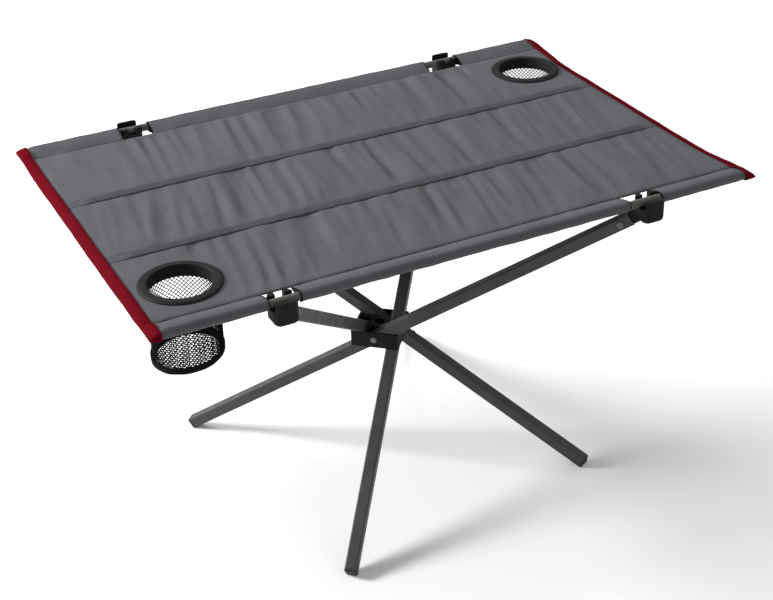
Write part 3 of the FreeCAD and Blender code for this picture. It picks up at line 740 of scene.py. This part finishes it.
def bag_point(cup, angle, fall, radius):
    """A place on the pocket; fall goes from 0 at the ring to 1 at the tilted floor."""
    across = radius * math.cos(angle)
    floor = POCKET_FLOOR + across * math.tan(FLOOR_TILT)
    height = POCKET_TOP + (floor - POCKET_TOP) * fall
    return Vector((cup.x + across, cup.y + radius * math.sin(angle), height))


def net(name, vertices, faces):
    piece = add_object(name, vertices, faces, "black_mesh")
    apply_modifier(piece, "WIREFRAME", thickness=NET_STRAND, use_even_offset=False, use_boundary=True)
    return piece


def make_pocket(side, cup):
    around = 2 * round(TAU * POCKET_RADIUS / NET_PITCH / 2)
    depth = POCKET_TOP - POCKET_FLOOR
    down = 2 * round(depth / NET_PITCH / 2)
    vertices = []
    for row in range(down + 1):
        fall = row / down
        for column in range(around):
            angle = TAU * column / around
            soft = 0.0009 * math.sin(math.pi * fall) * drift(angle * 1.3, fall * 3, cup.x)
            radius = POCKET_RADIUS - 0.0006 + soft * 2
            vertices.append(bag_point(cup, angle, fall, radius))
    faces = []
    for row in range(1, down):
        for column in range(around):
            if (row + column) % 2:
                before, after = (column - 1) % around, (column + 1) % around
                faces.append((row * around + before, (row + 1) * around + column,
                              row * around + after, (row - 1) * around + column))
    wall = net("pocket_net_" + side, vertices, faces)
    drop_loose(wall)
    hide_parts("pocket_wall_" + side)

    half = math.ceil(POCKET_RADIUS / NET_PITCH) + 1
    vertices, faces = [], []
    index = {}
    for row in range(-half, half + 1):
        for column in range(-half, half + 1):
            across, along = column * NET_PITCH, row * NET_PITCH
            spread = math.hypot(across, along)
            limit = min(1.0, (POCKET_RADIUS - 0.0004) / max(spread, 1e-6))
            across, along = across * limit, along * limit
            sag = NET_SAG * math.cos(min(spread / POCKET_RADIUS, 1.0) * math.pi / 2)
            index[row, column] = len(vertices)
            height = POCKET_FLOOR - 0.0006 + across * math.tan(FLOOR_TILT) - sag
            vertices.append((cup.x + across, cup.y + along, height))
    for row in range(-half + 1, half):
        for column in range(-half + 1, half):
            near = math.hypot(row, column) * NET_PITCH < POCKET_RADIUS + 0.3 * NET_PITCH
            if (row + column) % 2 and near:
                faces.append((index[row, column - 1], index[row - 1, column],
                              index[row, column + 1], index[row + 1, column]))
    floor = net("pocket_base_" + side, vertices, faces)
    drop_loose(floor)
    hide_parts("pocket_floor_" + side)


def make_pocket_tapes(side, cup):
    """Thick tape round the floor and one up the seam of the net."""
    outer = POCKET_OUTER
    inner = POCKET_RADIUS - 0.0002
    crest = TAPE_HIGH - TAPE_LOW - 0.0034
    outline = rounded_outline([
        (inner, 0.0, 0.0005), (inner - 0.003, -0.0014, 0.0006), (inner - 0.003, -0.0024, 0.0006),
        (outer, -0.0022, 0.0014), (outer + 0.0002, crest, 0.0009), (inner, crest, 0.0006)])
    steps = 110
    vertices = []
    for step in range(steps):
        angle = TAU * step / steps
        swell = 1 + 0.012 * drift(math.cos(angle) * 2, math.sin(angle) * 2, cup.x * 9)
        lift = 0.0006 * drift(math.cos(angle) * 2.5, math.sin(angle) * 2.5, 4.0)
        for radius, up in outline:
            place = bag_point(cup, angle, 1.0, radius * swell)
            vertices.append(place + Vector((0, 0, up + lift)))
    faces = grid_faces(steps + 1, len(outline), wrap=True)
    faces = [tuple(corner % len(vertices) for corner in face) for face in faces]
    hoop = add_object("pocket_hoop_" + side, vertices, faces, "black_tape")
    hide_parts("pocket_tape_" + side)

    width = SEAM_TAPE / POCKET_RADIUS
    vertices = []
    rows = 40
    for row in range(rows + 1):
        fall = row / rows
        for column in range(5):
            angle = SEAM_TURN + width * (column / 4 - 0.5)
            ripple = 0.0003 * drift(fall * 12, column * 0.6, cup.x * 5)
            vertices.append(bag_point(cup, angle, fall, POCKET_RADIUS + 0.0006 + ripple))
    seam = add_object("pocket_seam_" + side, vertices, grid_faces(rows + 1, 5), "black_tape")
    apply_modifier(seam, "SOLIDIFY", thickness=0.0012, offset=0)


def make_cups():
    make_rings()
    for side, cup in CUPS.items():
        make_pocket(side, cup)
        make_pocket_tapes(side, cup)


# ---------------------------------------------------------------- stage

def make_stage():
    mesh = bpy.data.meshes.new("floor")
    corners = [(x * FLOOR_REACH, y * FLOOR_REACH, 0) for x, y in ((-1, -1), (1, -1), (1, 1), (-1, 1))]
    mesh.from_pydata(corners, [], [(0, 1, 2, 3)])
    floor = bpy.data.objects.new("floor", mesh)
    bpy.context.scene.collection.objects.link(floor)
    paint = Finish("pale floor", (FLOOR_TONE,) * 3, 0.75)
    mesh.materials.append(paint.material)
    world = bpy.data.worlds.new("studio")
    world.use_nodes = True
    background = world.node_tree.nodes["Background"]
    background.inputs["Color"].default_value = (1, 1, 1, 1)
    background.inputs["Strength"].default_value = WORLD_LIGHT
    bpy.context.scene.world = world
    bpy.context.scene.view_settings.view_transform = "Standard"


def add_softbox(name, place, target, width, height, power):
    light = bpy.data.lights.new(name, "AREA")
    light.shape = "RECTANGLE"
    light.size = width
    light.size_y = height
    light.energy = power
    lamp = bpy.data.objects.new(name, light)
    lamp.location = place
    lamp.rotation_mode = "QUATERNION"
    lamp.rotation_quaternion = (Vector(target) - Vector(place)).to_track_quat("-Z", "Y")
    bpy.context.scene.collection.objects.link(lamp)


def make_lights():
    add_softbox("key", (-2.6, 1.5, 1.7), (0, 0, 0.35), 1.0, 0.8, 170)
    add_softbox("top", (0.2, 1.2, 3.0), (0, 0, 0.3), 1.8, 1.4, 44)
    add_softbox("front", (0.8, -2.8, 1.7), (0, 0, 0.3), 1.8, 1.2, 9)


def make_camera():
    yaw, pitch, roll = CAMERA_TURN
    ahead = Vector((math.sin(yaw) * math.cos(pitch), math.cos(yaw) * math.cos(pitch), -math.sin(pitch)))
    level = Vector((math.cos(yaw), -math.sin(yaw), 0))
    upward = level.cross(ahead)
    right = math.cos(roll) * level + math.sin(roll) * upward
    up = math.cos(roll) * upward - math.sin(roll) * level
    data = bpy.data.cameras.new("camera")
    data.lens = CAMERA_LENS
    data.sensor_width = CAMERA_SENSOR
    data.clip_end = 60
    camera = bpy.data.objects.new("camera", data)
    basis = Matrix((right, up, -ahead)).transposed()
    camera.matrix_world = Matrix.Translation(CAMERA_PLACE) @ basis.to_4x4()
    bpy.context.scene.collection.objects.link(camera)
    bpy.context.scene.camera = camera


finish_cad_nodes()
make_cloth()
make_cloth_stitches()
make_opening_edges()
make_sleeves()
make_tapes()
make_cups()
make_stage()
make_lights()
make_camera()
